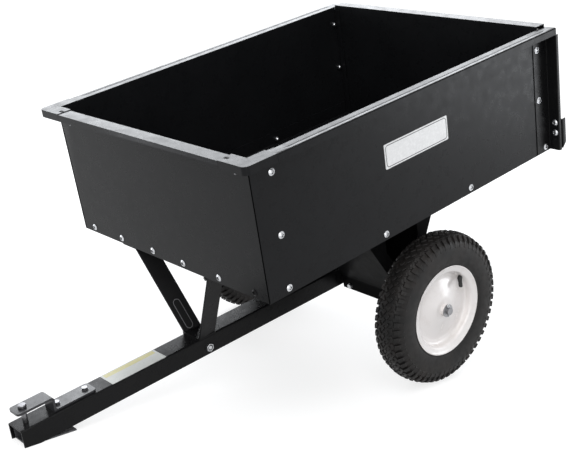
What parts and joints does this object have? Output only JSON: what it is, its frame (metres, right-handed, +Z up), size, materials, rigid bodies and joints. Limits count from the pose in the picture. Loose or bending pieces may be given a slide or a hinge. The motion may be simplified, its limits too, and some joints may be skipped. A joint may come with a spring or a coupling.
{
  "type": "tipping dump cart",
  "caption": "Towed steel garden cart with a tray that tips on its axle, a lift-out tailgate, a drawn tongue with a pin hitch, and pneumatic wheels.",
  "frame": {"origin": "on the ground, below the middle of the cart's length and width", "axes": "+Z up, +Y to the rear where the tailgate is, -Y forward along the tongue, +X to the right side for someone facing +Y"},
  "size_m": [0.8204, 1.447, 0.8968],
  "materials": {
    "panel_black": "satin powder coat, with pale reflections on the rim",
    "frame_black": "satin powder coat",
    "hitch_black": "satin powder coat",
    "zinc": "bright zinc plate",
    "axle_steel": "drawn steel",
    "wheel_white": "gloss enamel",
    "tyre": "knobbly tread",
    "tube_rubber": "smooth",
    "bushing": "moulded",
    "grip": "dipped"
  },
  "bodies": {
    "tongue": {"tongue": "frame_black", "pivot_sleeve": "axle_steel", "hitch_plate": "hitch_black", "hitch_bolts": "zinc", "hitch_nuts": "zinc", "skid": "frame_black", "catch_bolt": "zinc"},
    "hitch_pin": {"hitch_pin": "zinc"},
    "tray": {"floor_panel": "panel_black", "front_panel": "panel_black", "side_panel_left": "panel_black", "side_panel_right": "panel_black", "corner_left": "panel_black", "corner_right": "panel_black", "gate_guide_left": "frame_black", "gate_guide_right": "frame_black", "gate_channel_left": "frame_black", "gate_channel_right": "frame_black", "gate_bracket_left": "frame_black", "gate_bracket_right": "frame_black", "tray_bolts": "zinc", "tray_nuts": "zinc", "stand_front": "frame_black", "stand_rear": "frame_black", "axle_beam_left": "frame_black", "axle_beam_right": "frame_black", "axle_bracket_left": "frame_black", "axle_bracket_right": "frame_black", "axle": "axle_steel", "axle_sleeves": "axle_steel", "wheel_spacers": "axle_steel", "wheel_washers": "zinc", "cotter_pins": "zinc", "leg_left": "frame_black", "leg_right": "frame_black", "leg_foot": "frame_black", "frame_bolts": "zinc", "frame_nuts": "zinc", "latch_pivot": "zinc"},
    "tailgate": {"tailgate": "panel_black"},
    "latch": {"latch_lever": "frame_black", "latch_grip": "grip"},
    "wheel_left": {"rim_left": "wheel_white", "tyre_left": "tyre", "inner_tube_left": "tube_rubber", "hub_left": "wheel_white", "bushings_left": "bushing", "valve_left": "tube_rubber"},
    "wheel_right": {"rim_right": "wheel_white", "tyre_right": "tyre", "inner_tube_right": "tube_rubber", "hub_right": "wheel_white", "bushings_right": "bushing", "valve_right": "tube_rubber"}
  },
  "joints": [
    {"name": "tray_tip", "type": "hinge", "parent": "tongue", "child": "tray", "pos_m": [0, 0.28362, 0.2], "axis": [-1, 0, 0], "range_deg": [0, 58]},
    {"name": "wheel_spin_left", "type": "hinge", "parent": "tray", "child": "wheel_left", "pos_m": [-0.361, 0.28362, 0.2], "axis": [-1, 0, 0], "continuous": true},
    {"name": "wheel_spin_right", "type": "hinge", "parent": "tray", "child": "wheel_right", "pos_m": [0.361, 0.28362, 0.2], "axis": [-1, 0, 0], "continuous": true},
    {"name": "tailgate_slide", "type": "slide", "parent": "tray", "child": "tailgate", "axis": [0, -0.2113, 0.9774], "range_m": [0, 0.34]},
    {"name": "latch_turn", "type": "hinge", "parent": "tray", "child": "latch", "pos_m": [-0.0395, -0.19845, 0.12881], "axis": [1, 0, 0], "range_deg": [0, 20]},
    {"name": "hitch_pin_lift", "type": "slide", "parent": "tongue", "child": "hitch_pin", "axis": [0, -0.1805, 0.9836], "range_m": [0, 0.09]}
  ]
}
